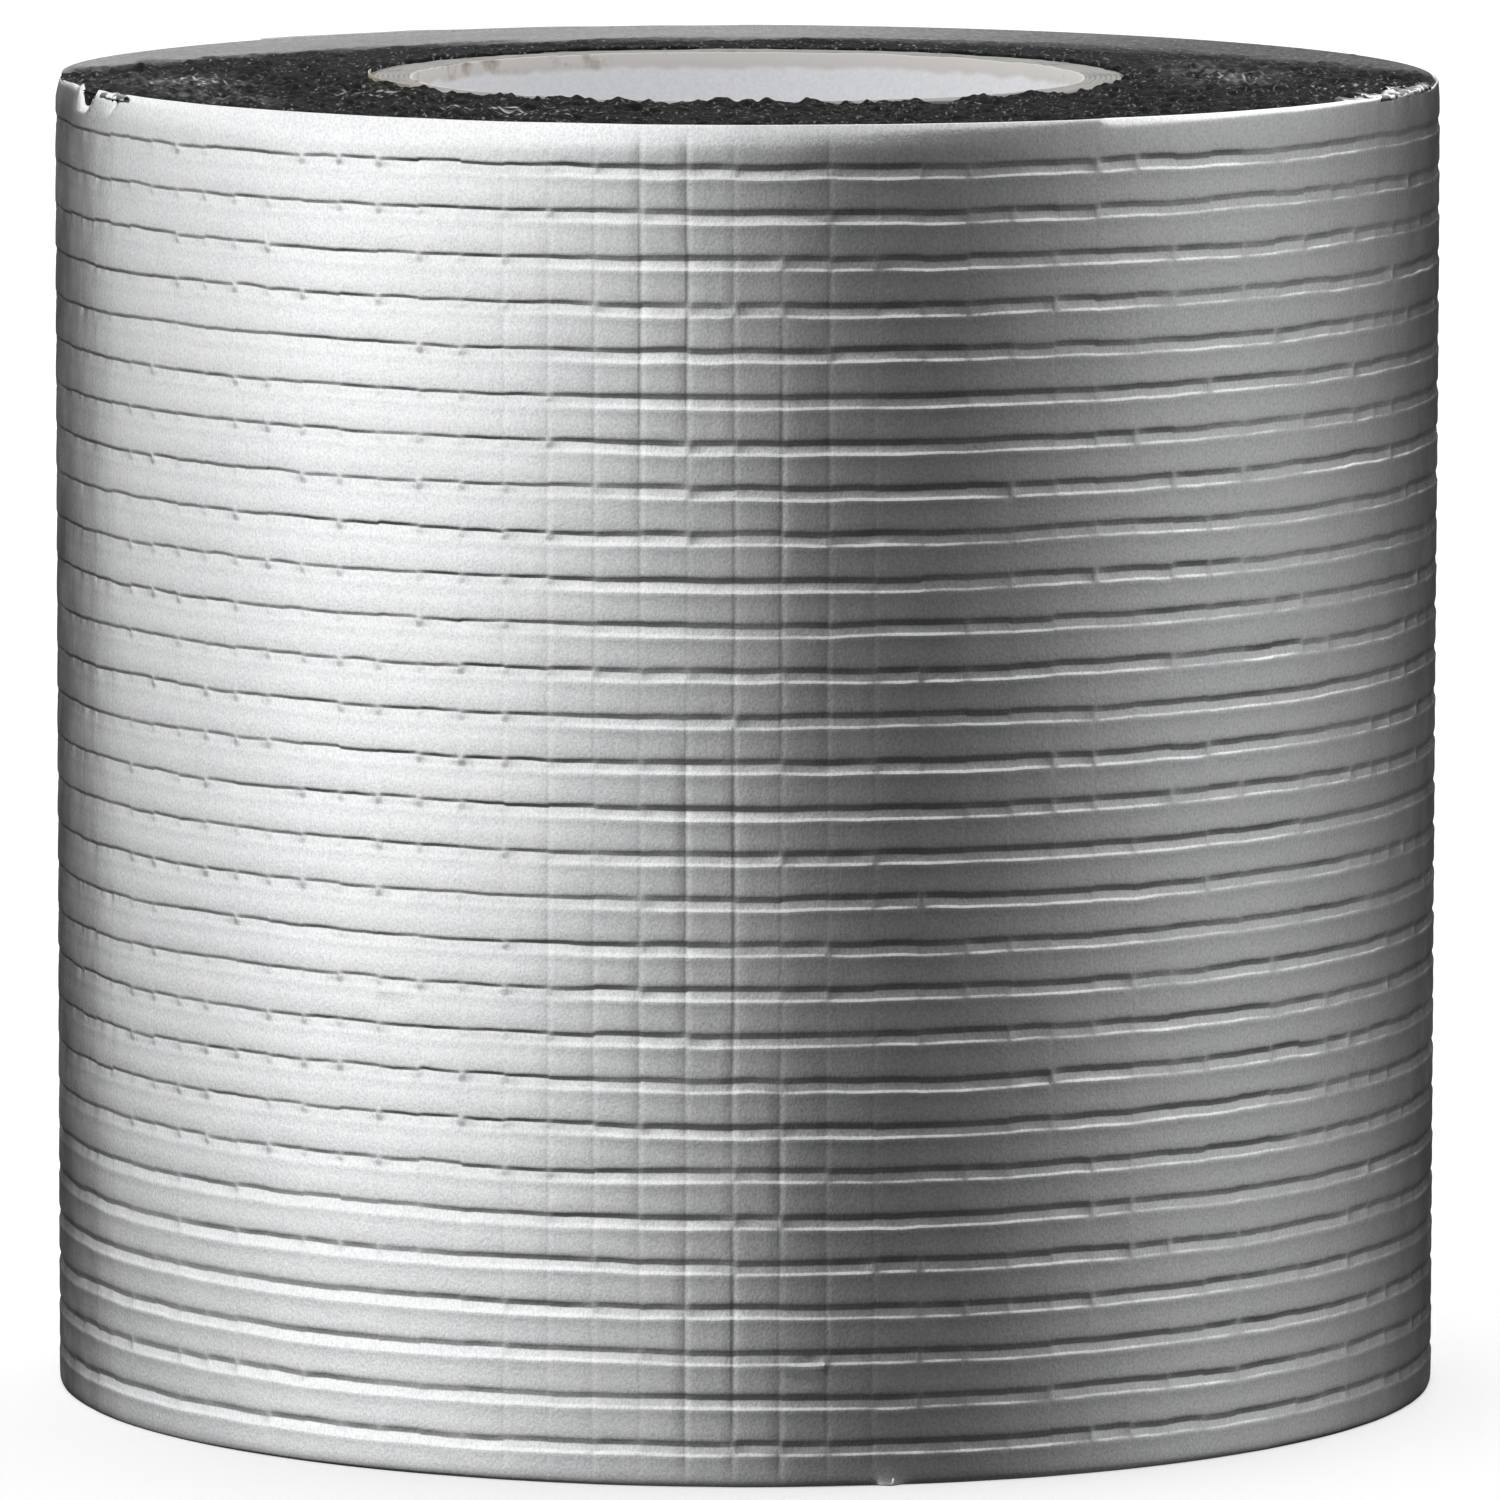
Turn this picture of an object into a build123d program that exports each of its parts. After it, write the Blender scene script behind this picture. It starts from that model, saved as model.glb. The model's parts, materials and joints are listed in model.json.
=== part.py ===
"""Roll of foil-faced butyl flashing tape, wound on a spiral-wound paperboard core.

The roll stands on one end: Z is the roll's axis and z = 0 is the plane that it stands on.
The tape is one continuous strip of four bonded layers. From the core outwards, each turn is
release liner, butyl, scrim film and foil. Every turn lies flat on the one below, and climbs by
the strip's thickness over a short step that sits above the strip's first edge, so all the
layers are parallel curves made of tangent arcs.
The last stretch of the outer turn is loose. It peels back as a chain of short lengths, each
hinged to the one before along the foil's outer face, which is the side that doesn't stretch.
"""

import os
from collections import namedtuple
from math import cos, degrees, radians, sin

from build123d import *

# Driving dimensions, in millimetres and degrees.
tape_width = 150.0          # across the strip, which is the height of the standing roll
turns = 26                  # complete turns of tape on the core
core_bore = 76.2            # inside diameter of the core
core_recess = 0.5           # each end of the core stands this far inside the tape's edges

lining_thickness = 0.4      # pale paper on the inside of the core
board_thickness = 0.6       # one ply of board
board_plies = 7
cover_thickness = 0.4       # smooth paper on the outside of the core

liner_thickness = 0.10      # siliconised release liner
butyl_thickness = 1.02      # adhesive compound
scrim_thickness = 0.15      # polyethylene film that holds the reinforcing mesh
foil_thickness = 0.10       # embossed aluminium facing

starter_length = 25.0       # adhesive strip that holds the first edge of the tape on the core
step_angle = 36.0           # polar angle in which a turn climbs onto the next one
strip_start_angle = 175.0   # polar angle of the strip's first edge
tip_to_step_angle = 2.0     # polar angle left between the loose end's tip and the step

loose_lengths = 6           # hinged lengths in the loose end
loose_length = 10.0         # each of them, along the strip
hinge_gap = 0.08            # open space at each hinge line
loose_clearance = 0.12      # loose end above the turn below it, at its root
loose_lift = 0.9            # further lift of the loose end at its tip

# Layers of the strip, from the core outwards: name and thickness.
layer_stack = (
    ("release_liner", liner_thickness),
    ("butyl", butyl_thickness),
    ("scrim_film", scrim_thickness),
    ("foil", foil_thickness),
)
strip_thickness = sum(thickness for _, thickness in layer_stack)

core_length = tape_width - 2 * core_recess
core_radius = core_bore / 2 + lining_thickness + board_plies * board_thickness + cover_thickness
loose_inner_radius = core_radius + (turns - 1) * strip_thickness + loose_clearance

Arc = namedtuple("Arc", "centre radius start sweep")


def polar(radius, angle):
    """Point at a radius and a polar angle in degrees."""
    return Vector(radius * cos(radians(angle)), radius * sin(radians(angle)))


def layer_offsets():
    """Each layer's name with its inner and outer distance from the strip's inner face."""
    offset = 0.0
    for name, thickness in layer_stack:
        yield name, offset, offset + thickness
        offset += thickness


def step_arcs(radius, start):
    """Two tangent arcs that climb from a circle to the one a strip's thickness outside it."""
    half = step_angle / 2
    change = strip_thickness * cos(radians(half)) / (2 * (1 - cos(radians(half))))
    middle = radius + strip_thickness / 2
    wide, tight = middle + change, middle - change
    return [
        Arc(polar(radius - wide, start), wide, start, half),
        Arc(
            polar(radius + strip_thickness - tight, start + step_angle),
            tight,
            start + half,
            half,
        ),
    ]


def winding_arcs(last_sweep):
    """Inner face of the whole strip, whose last turn covers last_sweep degrees."""
    flat_sweep = 360 - step_angle
    arcs = []
    for turn in range(turns - 1):
        radius = core_radius + turn * strip_thickness
        arcs.append(Arc(Vector(0, 0), radius, strip_start_angle, flat_sweep))
        arcs += step_arcs(radius, strip_start_angle + flat_sweep)
    last_radius = core_radius + (turns - 1) * strip_thickness
    arcs.append(Arc(Vector(0, 0), last_radius, strip_start_angle, last_sweep))
    return arcs


def without_start(arcs, length):
    """The same strip, cut back by a length measured along the inner face of its first arc."""
    first = arcs[0]
    cut = degrees(length / first.radius)
    return [Arc(first.centre, first.radius, first.start + cut, first.sweep - cut)] + arcs[1:]


def strip(arcs, inner, outer):
    """Solid between two parallel curves of a chain of arcs, as tall as the tape is wide."""
    first, last = arcs[0], arcs[-1]
    end = last.start + last.sweep
    edges = [CenterArc(a.centre, a.radius + inner, a.start, a.sweep) for a in arcs]
    edges += [CenterArc(a.centre, a.radius + outer, a.start, a.sweep) for a in arcs]
    for arc, angle in ((first, first.start), (last, end)):
        edges.append(
            Line(
                arc.centre + polar(arc.radius + inner, angle),
                arc.centre + polar(arc.radius + outer, angle),
            )
        )
    return extrude(make_face(edges), tape_width)


def tube(inner_radius, thickness):
    """One ply of the core."""
    ring = Circle(inner_radius + thickness) - Circle(inner_radius)
    return Pos(0, 0, core_recess) * extrude(ring, core_length)


def core_nodes():
    """The core's plies, from the bore outwards."""
    plies = [("core_lining", lining_thickness)]
    plies += [(f"core_board_ply_{n + 1}", board_thickness) for n in range(board_plies)]
    plies += [("core_cover", cover_thickness)]
    radius = core_bore / 2
    nodes = {}
    for name, thickness in plies:
        nodes[name] = tube(radius, thickness)
        radius += thickness
    return nodes


def loose_end_radius():
    """Inner radius of the loose end: it leaves the roll at a tangent and lifts by loose_lift."""
    reach = loose_lengths * loose_length
    curvature = 1 / loose_inner_radius - 2 * loose_lift / reach**2
    return 1 / curvature


def loose_root_angle():
    """Polar angle where the wound strip ends and the loose end begins."""
    reach = degrees(loose_lengths * loose_length / loose_inner_radius)
    return strip_start_angle - step_angle - tip_to_step_angle - reach


def loose_end_arcs():
    """One arc for each hinged length, shortened by half a hinge gap at both of its ends."""
    radius = loose_end_radius()
    centre = polar(loose_inner_radius - radius, loose_root_angle())
    pitch = degrees(loose_length / radius)
    gap = degrees(hinge_gap / radius)
    start = loose_root_angle() + gap / 2
    return [Arc(centre, radius, start + n * pitch, pitch - gap) for n in range(loose_lengths)]


def hinge_points():
    """Where each hinge axis crosses the XY plane: on the foil's outer face, in each gap."""
    half_gap = degrees(hinge_gap / loose_end_radius()) / 2
    return [
        arc.centre + polar(arc.radius + strip_thickness, arc.start - half_gap)
        for arc in loose_end_arcs()
    ]


def wound_nodes():
    """The four layers of the wound strip, and the starter strip that holds it on the core."""
    half_gap = degrees(hinge_gap / 2 / loose_inner_radius)
    last_sweep = loose_root_angle() - half_gap - strip_start_angle + 360
    arcs = winding_arcs(last_sweep)
    starter_sweep = degrees(starter_length / core_radius)
    starter = [Arc(arcs[0].centre, core_radius, strip_start_angle, starter_sweep)]
    nodes = {"starter_strip": strip(starter, 0, liner_thickness)}
    for name, inner, outer in layer_offsets():
        on_core = without_start(arcs, starter_length) if name == "release_liner" else arcs
        nodes[f"wound_{name}"] = strip(on_core, inner, outer)
    return nodes


def loose_nodes():
    """The same four layers in each hinged length of the loose end."""
    return {
        f"loose_end_{n + 1}_{name}": strip([arc], inner, outer)
        for n, arc in enumerate(loose_end_arcs())
        for name, inner, outer in layer_offsets()
    }


def main():
    os.makedirs("parts", exist_ok=True)
    nodes = {**core_nodes(), **wound_nodes(), **loose_nodes()}
    for name, shape in nodes.items():
        export_step(shape, f"parts/{name}.step")
    outer_radius = core_radius + turns * strip_thickness
    print("roll diameter", round(2 * outer_radius, 2), "strip thickness", round(strip_thickness, 3))
    print("hinge axes", [(round(p.X, 4), round(p.Y, 4)) for p in hinge_points()])


main()
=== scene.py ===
"""Looks of a roll of foil-faced butyl sealing tape that stands on its end.

The tape is one strip of four layers, wound on a paperboard core. The foil is embossed with a
square grid of grooves, and the compound shows as a rough black face at both ends of the roll.
The last stretch of the outer turn is loose, and bends across six hinges.
"""

import json
import math
from collections import namedtuple

import bpy
import numpy as np
from mathutils import Matrix, Vector


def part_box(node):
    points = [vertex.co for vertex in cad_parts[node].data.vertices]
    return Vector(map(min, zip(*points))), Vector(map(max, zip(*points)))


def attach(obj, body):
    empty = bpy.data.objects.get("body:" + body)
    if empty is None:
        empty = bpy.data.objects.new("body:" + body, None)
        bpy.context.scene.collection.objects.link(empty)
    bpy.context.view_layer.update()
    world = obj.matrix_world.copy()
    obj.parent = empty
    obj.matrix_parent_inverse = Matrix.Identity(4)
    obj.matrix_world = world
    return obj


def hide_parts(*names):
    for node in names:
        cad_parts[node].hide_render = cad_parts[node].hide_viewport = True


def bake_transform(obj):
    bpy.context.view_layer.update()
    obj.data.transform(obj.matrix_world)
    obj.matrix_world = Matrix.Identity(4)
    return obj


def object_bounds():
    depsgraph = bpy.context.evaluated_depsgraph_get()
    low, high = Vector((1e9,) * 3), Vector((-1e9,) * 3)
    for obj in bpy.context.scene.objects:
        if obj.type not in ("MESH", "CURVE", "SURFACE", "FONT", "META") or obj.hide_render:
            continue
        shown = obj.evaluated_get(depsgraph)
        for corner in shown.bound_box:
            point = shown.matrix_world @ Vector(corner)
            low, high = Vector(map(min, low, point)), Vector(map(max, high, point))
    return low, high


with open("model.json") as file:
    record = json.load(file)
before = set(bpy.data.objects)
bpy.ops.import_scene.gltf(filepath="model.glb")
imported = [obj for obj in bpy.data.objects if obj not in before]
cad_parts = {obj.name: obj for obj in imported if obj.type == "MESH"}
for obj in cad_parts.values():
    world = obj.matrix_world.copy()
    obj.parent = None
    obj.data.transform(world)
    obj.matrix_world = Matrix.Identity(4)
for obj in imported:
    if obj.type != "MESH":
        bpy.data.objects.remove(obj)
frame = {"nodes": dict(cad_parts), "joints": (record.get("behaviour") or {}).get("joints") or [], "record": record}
cad_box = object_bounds()

# Lengths below are in millimetres, and are turned to metres where a mesh is made.
MM = 0.001

# The strip and how it is wound.
TURNS = 26
LINER, BUTYL, SCRIM, FOIL = 0.10, 1.02, 0.15, 0.10
STRIP = LINER + BUTYL + SCRIM + FOIL
STRIP_START = 175.0         # polar angle of the strip's first edge, in degrees
STEP_ANGLE = 36.0           # polar angle in which a turn climbs onto the next one
STEP_START = STRIP_START - STEP_ANGLE
FRONT = 270.0               # polar angle of the roll's front

# Sizes that the frame gives.
HEIGHT = cad_box[1].z / MM
BORE = next(m for m in frame["record"]["mounts"] if m["name"] == "core_bore")["dims"]["r_mm"]
CORE_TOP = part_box("core_cover")[1].z / MM
CORE_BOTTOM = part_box("core_cover")[0].z / MM
PLIES = ["core_lining"] + [f"core_board_ply_{n}" for n in range(1, 8)] + ["core_cover"]
PLY_THICKNESS = [0.4] + [0.6] * 7 + [0.4]
CORE_RADIUS = BORE + sum(PLY_THICKNESS)
OUTER_RADIUS = CORE_RADIUS + TURNS * STRIP
HINGES = np.array([j["pos_m"][:2] for j in frame["joints"]]) / MM
LOOSE_BODIES = [j["child"] for j in frame["joints"]]

# The embossed grid.
LINE_PITCH = 5.02           # between the grooves that run round the roll
FIRST_LINE = 4.65           # from the foil's top edge down to the first of them
LINES = 29
CROSS_PITCH = 5.15          # between the grooves that run up the roll
CROSS_START = -1.2          # one of them, along the foil from the roll's front
LINE_DEPTH = 0.2
CROSS_DEPTH = 0.05
PROUD = 0.13                # how far the foil stands off the compound

# Groove profile: distance below the groove's middle, and depth as a share of LINE_DEPTH. From the
# front to the right the upper wall is broad and the lower wall ends in a steeper lip. On the left
# the groove is narrow and steep above, and its lower wall is drawn out until it has no lip.
LINE_PROFILE = (
    (-0.75, 0.0), (-0.50, 0.06), (-0.36, 0.18), (0.18, 0.98), (0.27, 1.0), (0.42, 0.93), (0.95, 0.50),
    (1.10, 0.34), (1.28, -0.12), (1.42, -0.17), (1.75, -0.08), (2.7, 0.10), (3.6, 0.0),
)
LEFT_PROFILE = (
    (-0.45, 0.0), (-0.28, 0.05), (-0.16, 0.2), (0.08, 0.98), (0.14, 1.0), (0.26, 0.94), (0.55, 0.80),
    (0.85, 0.66), (1.15, 0.52), (1.5, 0.36), (1.75, 0.41), (2.7, 0.10), (3.6, 0.0),
)
LEFT_END, RIGHT_START = -26.0, -8.0   # the profile changes between these, from the front
FAR_LEFT = -118.0           # beyond this it changes back, as it does below LOW_LINES
LOW_LINES = 38.0
# Columns at a cross groove, from its middle: it is steep on one side and shallow on the other.
CROSS_OFFSETS = (-0.5, -0.32, -0.15, 0.1, 0.35, 0.65, 1.9, 3.2)
CROSS_MIDDLE, CROSS_STEEP, CROSS_SHALLOW = -0.15, 0.35, 0.8
CROSS_PLACE = -7.0          # where the cross grooves are deepest, from the front
LEAST_SPACE = 0.25          # between two columns of the foil

# Creases that run up the roll: distance along the foil from the front, side that falls away,
# depth, softness, and how far the crease has drifted sideways at the top edge.
CREASES = ((5.9, 1, 0.13, 0.3, 0.0), (-94.0, -1, 0.2, 2.2, 11.5), (-88.5, -1, 0.05, 0.8, 0.0))
CREASE_STEP, CREASE_END = 2.6, 22.0   # lengths in which a crease falls away, and levels out again
DRIFT_REACH = 6.5           # how far down from the top edge its drift reaches
WHOLE_PLACE = -102.0        # about here, from the front, the grooves have hardly any gaps
# Small dents: distance along the foil from the front, height, half width, depth.
DENTS = ((7.2, 13.9, 1.1, 0.22), (6.1, 11.1, 0.8, 0.16), (-41.0, 52.0, 2.2, 0.05))
# Crushed stretches of the top edge: distance along the foil from the front, half width, amount.
RIM_DAMAGE = ((-102.0, 4.0, 0.25), (-90.0, 3.0, 0.12), (92.0, 12.0, 0.45), (107.0, 9.0, 0.5))
# Notches torn in the top edge: distance along the foil from the front, half width, depth, lean.
NOTCHES = ((-97.4, 2.9, 1.9, 0.7), (-87.6, 1.0, 1.5, 0.9))
NOTCH_COLUMNS = np.arange(-101.3, -85.5, 0.61)   # extra columns that draw them
FLAP = (-100.6, 1.8, 0.35)  # the corner that stands up left of the notch: place, half width, height
LIP_START, LIP_END = 41.5, 92.0   # stretch of the top edge that is turned in, from the front
LIP_WIDTH, LIP_SLOPE = 0.95, 0.33
CURL_START, CURL_END = 12, 38         # between these the top edge curls in less and less
BURR, BURR_OUT = 15.8, 0.9  # a snag on the bottom edge: distance from the front, how far it sticks out


# ---------------- noise

NOISE_SIZE = 256


def lattice(seed):
    """A square table of random values from -1 to 1, read round and round."""
    return np.random.default_rng(seed).uniform(-1, 1, (NOISE_SIZE, NOISE_SIZE))


def noise(u, v, seed):
    """Smooth noise from -1 to 1: lattice values at whole u and v, joined by a smoothstep."""
    table, size = lattice(seed), NOISE_SIZE
    iu, iv = np.floor(u).astype(int), np.floor(v).astype(int)
    fu, fv = u - iu, v - iv
    fu, fv = fu * fu * (3 - 2 * fu), fv * fv * (3 - 2 * fv)
    a, b = iu % size, (iu + 1) % size
    c, d = iv % size, (iv + 1) % size
    low = table[a, c] * (1 - fu) + table[b, c] * fu
    high = table[a, d] * (1 - fu) + table[b, d] * fu
    return low * (1 - fv) + high * fv


def bump(x, centre, width):
    """A smooth hump of height 1 that falls to 0 at width from its centre."""
    t = np.clip(1 - np.abs(x - centre) / width, 0, 1)
    return t * t * (3 - 2 * t)


# ---------------- paths

Arc = namedtuple("Arc", "centre radius start sweep")


def polar(radius, angle):
    """The point at a radius and a polar angle."""
    return np.array([radius * math.cos(math.radians(angle)), radius * math.sin(math.radians(angle))])


def directions(angle):
    """Unit vectors at polar angles."""
    return np.stack([np.cos(np.radians(angle)), np.sin(np.radians(angle))], -1)


def wound_arcs(first_angle):
    """Outer face of the strip, from first_angle under the loose end, over the step, and once
    round to the hinge at the loose end's root."""
    inner = OUTER_RADIUS - STRIP
    half = STEP_ANGLE / 2
    change = STRIP * math.cos(math.radians(half)) / (2 * (1 - math.cos(math.radians(half))))
    wide, tight = inner + STRIP / 2 + change, inner + STRIP / 2 - change
    root = math.degrees(math.atan2(HINGES[0][1], HINGES[0][0])) + 360
    return [
        Arc(polar(0, 0), inner, first_angle, STEP_START - first_angle),
        Arc(polar(inner - wide, STEP_START), wide, STEP_START, half),
        Arc(polar(OUTER_RADIUS - tight, STRIP_START), tight, STEP_START + half, half),
        Arc(polar(0, 0), OUTER_RADIUS, STRIP_START, root - STRIP_START),
    ]


def circle_through(a, b, c):
    """Centre and radius of the circle through three points."""
    rows = 2 * np.array([b - a, c - a])
    centre = np.linalg.solve(rows, np.array([b @ b - a @ a, c @ c - a @ a]))
    return centre, float(np.linalg.norm(a - centre))


def loose_arc():
    """Outer face of the loose end: one arc through the hinges, as long as six of their spaces."""
    centre, radius = circle_through(HINGES[0], HINGES[2], HINGES[-1])
    first, last = HINGES[0] - centre, HINGES[-1] - centre
    start = math.degrees(math.atan2(first[1], first[0]))
    span = math.degrees(math.atan2(last[1], last[0])) - start
    return Arc(centre, radius, start, span * len(HINGES) / (len(HINGES) - 1))


def arc_length(arc):
    return arc.radius * math.radians(arc.sweep)


def along(arcs, distance):
    """Points, and unit vectors that point outwards, at distances along a chain of arcs."""
    ends = np.cumsum([arc_length(a) for a in arcs])
    which = np.clip(np.searchsorted(ends, distance), 0, len(arcs) - 1)
    starts = np.concatenate([[0.0], ends[:-1]])
    radius = np.array([a.radius for a in arcs])[which]
    centre = np.array([a.centre for a in arcs])[which]
    angle = np.radians([a.start for a in arcs])[which] + (distance - starts[which]) / radius
    outward = np.stack([np.cos(angle), np.sin(angle)], -1)
    return centre + radius[..., None] * outward, outward


ROOT_COVER = 2.0            # degrees by which the lower turn's foil runs in under the loose end's root
ROOT_ANGLE = math.degrees(math.atan2(HINGES[0][1], HINGES[0][0]))
WOUND = wound_arcs(ROOT_ANGLE - ROOT_COVER)
WOUND_LENGTH = sum(arc_length(a) for a in WOUND)
LOOSE = loose_arc()
LOOSE_SPACE = arc_length(LOOSE) / len(HINGES)
# Distance along the whole outer face at the roll's front.
FRONT_DISTANCE = WOUND_LENGTH - OUTER_RADIUS * math.radians(ROOT_ANGLE + 360 - FRONT)


# ---------------- meshes

def make_mesh(name, points, faces, material, body=None, smooth=True):
    """A mesh object from points in millimetres and faces, with one material."""
    mesh = bpy.data.meshes.new(name)
    mesh.from_pydata((np.asarray(points, float) * MM).tolist(), [], faces)
    mesh.polygons.foreach_set("use_smooth", [smooth] * len(mesh.polygons))
    mesh.materials.append(material)
    mesh.update()
    obj = bpy.data.objects.new(name, mesh)
    bpy.context.scene.collection.objects.link(obj)
    if body:
        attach(obj, body)
    return obj


def grid_faces(columns, rows, close_rows=False, close_columns=False):
    """Quads of a grid whose point (column, row) has index column * rows + row."""
    i = np.arange(columns if close_columns else columns - 1)[:, None]
    j = np.arange(rows if close_rows else rows - 1)[None, :]
    i2, j2 = (i + 1) % columns, (j + 1) % rows
    quads = np.stack([i * rows + j, i2 * rows + j, i2 * rows + j2, i * rows + j2], -1)
    return quads.reshape(-1, 4).tolist()


def swept(name, section_points, material, body=None, flip=False):
    """A closed loop carried along a path, with both ends closed: section_points is
    (columns, points of the loop, 3), and the loop runs up the outside and down the inside."""
    columns, rows = section_points.shape[:2]
    faces = grid_faces(columns, rows, close_rows=True)
    faces.append(list(range(rows - 1, -1, -1)))
    faces.append([(columns - 1) * rows + j for j in range(rows)])
    if flip:
        faces = [f[::-1] for f in faces]
    piece = make_mesh(name, section_points.reshape(-1, 3), faces, material, body)
    ends = np.array([e.vertices for e in piece.data.edges]) // rows
    sharp = (ends[:, 0] == ends[:, 1]) & ((ends[:, 0] == 0) | (ends[:, 0] == columns - 1))
    piece.data.attributes.new("sharp_edge", "BOOLEAN", "EDGE").data.foreach_set("value", sharp)
    return piece


# ---------------- foil

def foil_rows():
    """Rows of the foil from its top edge down: line number, then the row's place in the profile or,
    off the grid, its distance below the line, and last its distance from the top edge, or from the
    bottom edge as a negative number. That last one is 0 on the grid."""
    rim = (1e-6, 0.08, 0.22, 0.45, 0.8, 1.3, 2.0, 2.7, 3.2)
    rows = [(0, d - FIRST_LINE, d) for d in rim]
    for k in range(LINES):
        rows += [(k, n, 0.0) for n in range(len(LINE_PROFILE))]
    rows = rows[:-2]            # below the last groove the foot's rows take over
    foot = (2.1, 1.4, 0.8, 0.35, 0.1, 1e-6)
    last_line = FIRST_LINE + LINE_PITCH * (LINES - 1)
    rows += [(LINES - 1, HEIGHT - last_line - d, -d) for d in foot]
    return np.array(rows)


ROWS = foil_rows()


def foil_columns(start, end):
    """Distances along the outer face from start to end, with a set of columns at each cross groove
    and closer ones at the notches."""
    first = math.floor((start - FRONT_DISTANCE - CROSS_START) / CROSS_PITCH) - 1
    last = math.ceil((end - FRONT_DISTANCE - CROSS_START) / CROSS_PITCH) + 1
    numbers = np.arange(first, last + 1)
    grid = FRONT_DISTANCE + CROSS_START + CROSS_PITCH * numbers[:, None] + np.array(CROSS_OFFSETS)
    extra = FRONT_DISTANCE + NOTCH_COLUMNS
    apart = np.abs(extra[:, None] - grid.ravel()[None, :]).min(1) > LEAST_SPACE
    grid = np.sort(np.concatenate([grid.ravel(), extra[apart]]))
    inside = grid[(grid > start + 0.1) & (grid < end - 0.1)]
    return np.concatenate([[start], inside, [end]])


def foil_relief(distance):
    """Height and outward offset of every point of the foil, for an array of columns.

    Each groove wanders a little and steps where a cross groove meets it. Its depth follows
    LINE_PROFILE on the right and LEFT_PROFILE on the left, varies along its length, and is less
    at a crossing. A cross groove is a shallow cosine dip, steep on one side. Between cross
    grooves the foil is flattened: a flat cell would lie inside the arc by pitch squared / 8
    radius at its middle, and it takes a share of that. A crease is a step that decays, and it
    can drift sideways towards the top. Both edges curl in. The top edge is crushed where
    RIM_DAMAGE says, torn down in slanting notches where NOTCHES says, and stands up at FLAP."""
    # place on the grid: groove k, place s across it, and distance off a cross groove
    k, s, rim = (ROWS[:, n][None, :] for n in range(3))
    column = (distance - FRONT_DISTANCE)[:, None]
    cell = (column - CROSS_START) / CROSS_PITCH
    nearest = np.round(cell)
    number = np.floor(cell)
    off = (cell - nearest) * CROSS_PITCH + 0.12 * noise(nearest * 7.3, k * 0.45, 5)
    on_grid = np.where(rim == 0, 1.0, 0.0)
    profile_row = np.clip(s, 0, len(LINE_PROFILE) - 1).astype(int) * (rim == 0)
    to_right = np.clip((column - LEFT_END) / (RIGHT_START - LEFT_END), 0, 1)
    to_right = np.maximum(to_right, np.clip((FAR_LEFT - column) / 12, 0, 1))
    line_height = HEIGHT - FIRST_LINE - k * LINE_PITCH
    to_right = np.maximum(to_right, 0.85 * np.clip((LOW_LINES - line_height) / 16, 0, 1))
    left, right = np.array(LEFT_PROFILE)[profile_row], np.array(LINE_PROFILE)[profile_row]
    profile = left + (right - left) * to_right[..., None]
    s = np.where(rim == 0, profile[..., 0], s)
    share = profile[..., 1] * on_grid

    # the grooves that run round the roll
    wander = 0.15 * noise(column / 21, k * 3.1, 1) + 0.09 * noise(column / 4.1, k * 5.7, 2)
    wander = wander + 0.05 * noise(column / 1.3, k * 7.9, 16)
    step = 0.13 * noise(number * 3.7, k * 9.1, 3)
    near_line = np.exp(-((s - 0.1) / 0.9) ** 2)
    height = HEIGHT - FIRST_LINE - k * LINE_PITCH - s + (wander + step * near_line) * on_grid

    crossing = np.exp(-((off / 0.55) ** 2))
    strength = 1 + 0.25 * noise(column / 13, k * 2.3, 4) + 0.2 * noise(column / 1.9, k * 4.9, 6)
    gaps = np.clip(0.55 - 0.4 * to_right + 0.7 * noise(nearest * 5.1, k * 6.3, 7), 0, 1)
    gaps = gaps * np.clip((np.abs(column - WHOLE_PLACE) - 12) / 6, 0.1, 1)
    at_groove = np.exp(-(s / 0.8) ** 4)
    strength = strength * (1 - crossing * gaps * np.maximum(at_groove, to_right))
    broken = 0.5 + 0.5 * noise(column / 0.9, k * 3.7, 20)
    strength = strength * (1 - 0.35 * (1 - to_right) * broken * at_groove)
    offset = PROUD - LINE_DEPTH * share * strength * on_grid

    # the cross grooves and the flat cells between them
    from_middle = off - CROSS_MIDDLE
    side_width = np.where(from_middle < 0, CROSS_STEEP, CROSS_SHALLOW)
    dip = 0.5 + 0.5 * np.cos(np.pi * np.clip(from_middle / side_width, -1, 1))
    cross_strength = 0.85 + 0.6 * noise(nearest * 2.9, height / 18, 8)
    cross_strength = cross_strength * (0.12 + bump(column, CROSS_PLACE, 34.0))
    away_from_edges = np.clip(np.minimum(height, HEIGHT - height) / 3, 0, 1)
    offset = offset - CROSS_DEPTH * dip * cross_strength * away_from_edges
    flatness = 0.15 + 0.4 * bump(column, CROSS_PLACE, 40.0)
    flat_cell = CROSS_PITCH ** 2 / (8 * OUTER_RADIUS)
    offset = offset - flatness * flat_cell * (1 - (2 * (cell - number) - 1) ** 2)

    # creases, dents and a general unevenness
    for place, side, depth, softness, drift in CREASES:
        past = side * (column - place) - drift * np.exp((height - HEIGHT) / DRIFT_REACH)
        beyond = (past + np.hypot(past, softness)) / 2
        offset = offset - depth * (1 - np.exp(-beyond / CREASE_STEP)) * np.exp(-beyond / CREASE_END)
    for place, level, width, depth in DENTS:
        far = np.hypot(column - place, 2 * (height - level)) / width
        offset = offset - depth * np.exp(-far ** 2) + 0.5 * depth * np.exp(-((far - 1.4) / 0.5) ** 2)
    offset = offset + 0.07 * noise(column / 33, height / 40, 9)
    offset = offset + 0.010 * noise(column / 3.1, height / 2.7, 10)
    offset = offset + 0.005 * noise(column / 0.9, height / 3.0, 17)

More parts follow.
